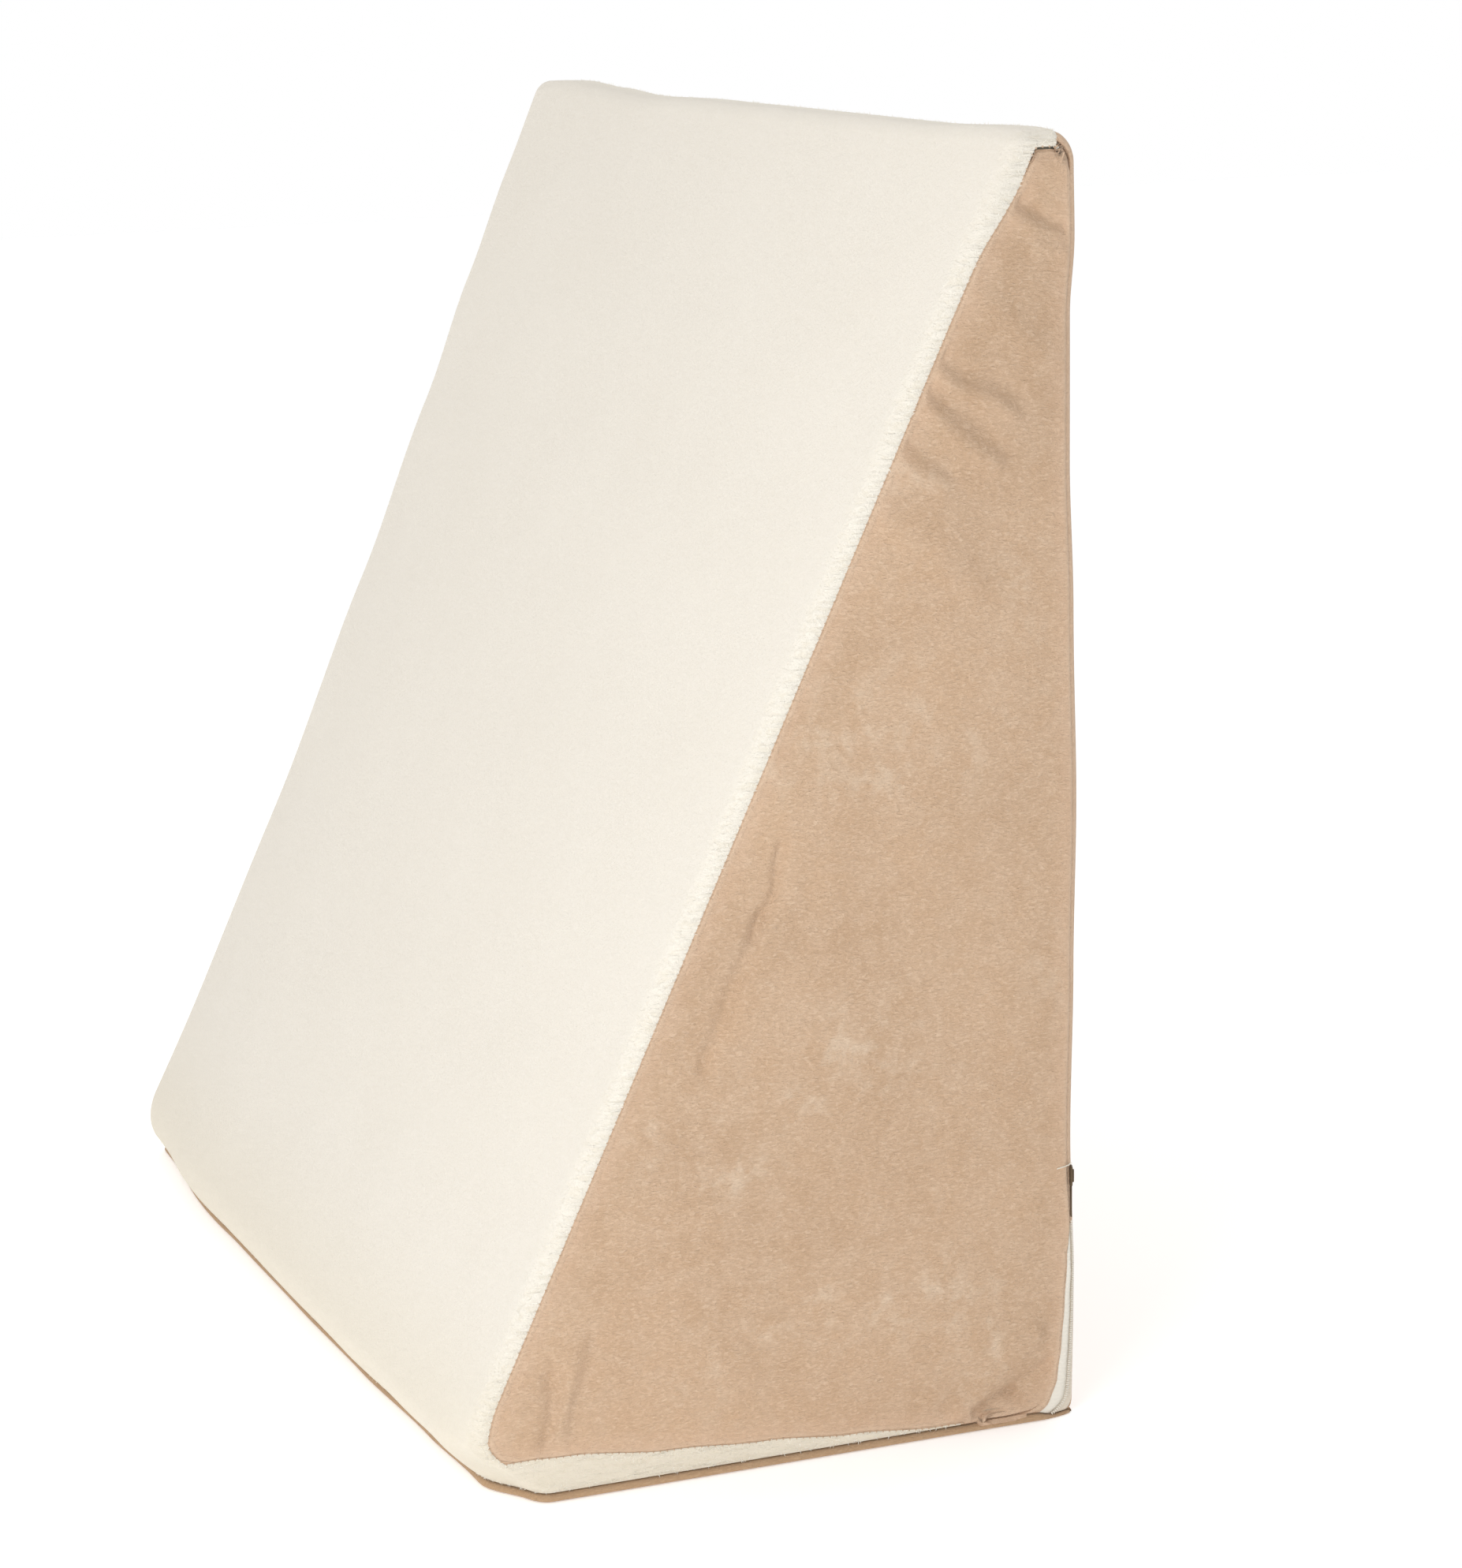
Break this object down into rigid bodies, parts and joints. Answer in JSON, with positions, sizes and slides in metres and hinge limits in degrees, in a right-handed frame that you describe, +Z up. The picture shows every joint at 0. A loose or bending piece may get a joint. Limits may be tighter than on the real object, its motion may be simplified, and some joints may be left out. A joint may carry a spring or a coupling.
{
  "type": "wedge pillow",
  "caption": "Wedge-shaped bed pillow with a plush sleeping face, velour sides and a zipped cover, standing on its thick end.",
  "frame": {"origin": "middle of the foot, on the surface that the thick end stands on", "axes": "+Z up from the thick end to the thin nose, -Y towards the side that the sleeping slope faces, +X along the width towards the side with the zip"},
  "size_m": [0.6129, 0.3139, 0.6101],
  "materials": {
    "filled_core": "matte",
    "cream_plush": "matte",
    "tan_velour": "matte",
    "zip_tape": "matte",
    "zip_coil": "satin",
    "dark_bronze": "satin"
  },
  "bodies": {
    "root": {"wedge_cushion": "filled_core", "sleeping_panel": "cream_plush", "side_panel_right": "tan_velour", "side_panel_left": "tan_velour", "back_panel": "tan_velour", "end_panel": "tan_velour", "zip_tape_side": "zip_tape", "zip_tape_back": "zip_tape", "zip_coil": "zip_coil", "zip_slider": "dark_bronze", "zip_pull": "dark_bronze"}
  },
  "joints": []
}
